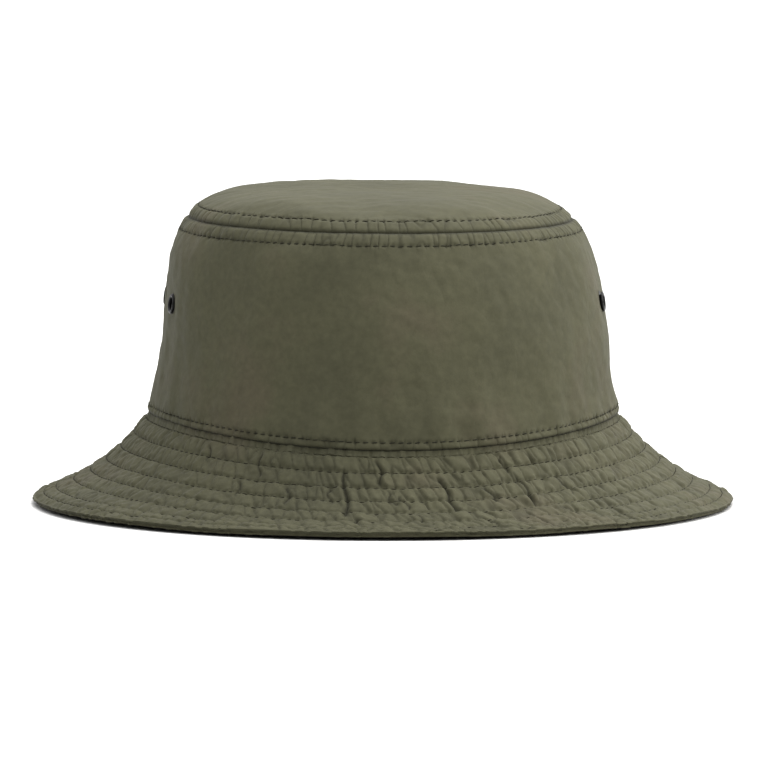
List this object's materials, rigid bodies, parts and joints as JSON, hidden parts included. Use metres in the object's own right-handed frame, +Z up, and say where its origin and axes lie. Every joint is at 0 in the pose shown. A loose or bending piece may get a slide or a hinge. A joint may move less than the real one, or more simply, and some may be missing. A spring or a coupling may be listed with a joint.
{
  "type": "bucket hat",
  "caption": "Soft bucket hat: oval crown with a domed tip, vent eyelets near the side seams, and a sloping brim quilted with rows of stitching.",
  "frame": {"origin": "middle of the oval that the brim's edge stands on, at the height of the surface it stands on", "axes": "+Z up through the crown; -Y towards the front of the hat, which is the wearer's view; +X towards the wearer's left, with the side seams at +X and -X"},
  "size_m": [0.2606, 0.294, 0.118],
  "materials": {
    "shell": "olive green nylon taffeta, slightly crinkled, soft sheen",
    "interlining": "off-white non-woven stiffener, matte",
    "lining": "dark olive polyester taffeta, soft sheen",
    "sweatband": "olive cotton twill, matte",
    "thread": "dark olive polyester sewing thread, twisted",
    "eyelet_metal": "black lacquered brass, satin"
  },
  "bodies": {
    "root": {"crown_tip": "shell", "side_wall_front": "shell", "side_wall_back": "shell", "brim_top_front": "shell", "brim_top_back": "shell", "brim_under_front": "shell", "brim_under_back": "shell", "lining_tip": "lining", "lining_side_front": "lining", "lining_side_back": "lining", "brim_interlining": "interlining", "sweatband": "sweatband", "tip_topstitch": "thread", "wall_topstitch": "thread", "base_topstitch": "thread", "sweatband_stitch": "thread", "brim_bobbin_threads": "thread", "brim_stitch_row_1": "thread", "brim_stitch_row_2": "thread", "brim_stitch_row_3": "thread", "brim_stitch_row_4": "thread", "brim_stitch_row_5": "thread", "brim_stitch_row_6": "thread", "brim_stitch_row_7": "thread", "brim_stitch_row_8": "thread", "eyelet_left_front": "eyelet_metal", "eyelet_washer_left_front": "eyelet_metal", "eyelet_left_back": "eyelet_metal", "eyelet_washer_left_back": "eyelet_metal", "eyelet_right_front": "eyelet_metal", "eyelet_washer_right_front": "eyelet_metal", "eyelet_right_back": "eyelet_metal", "eyelet_washer_right_back": "eyelet_metal"}
  },
  "joints": []
}
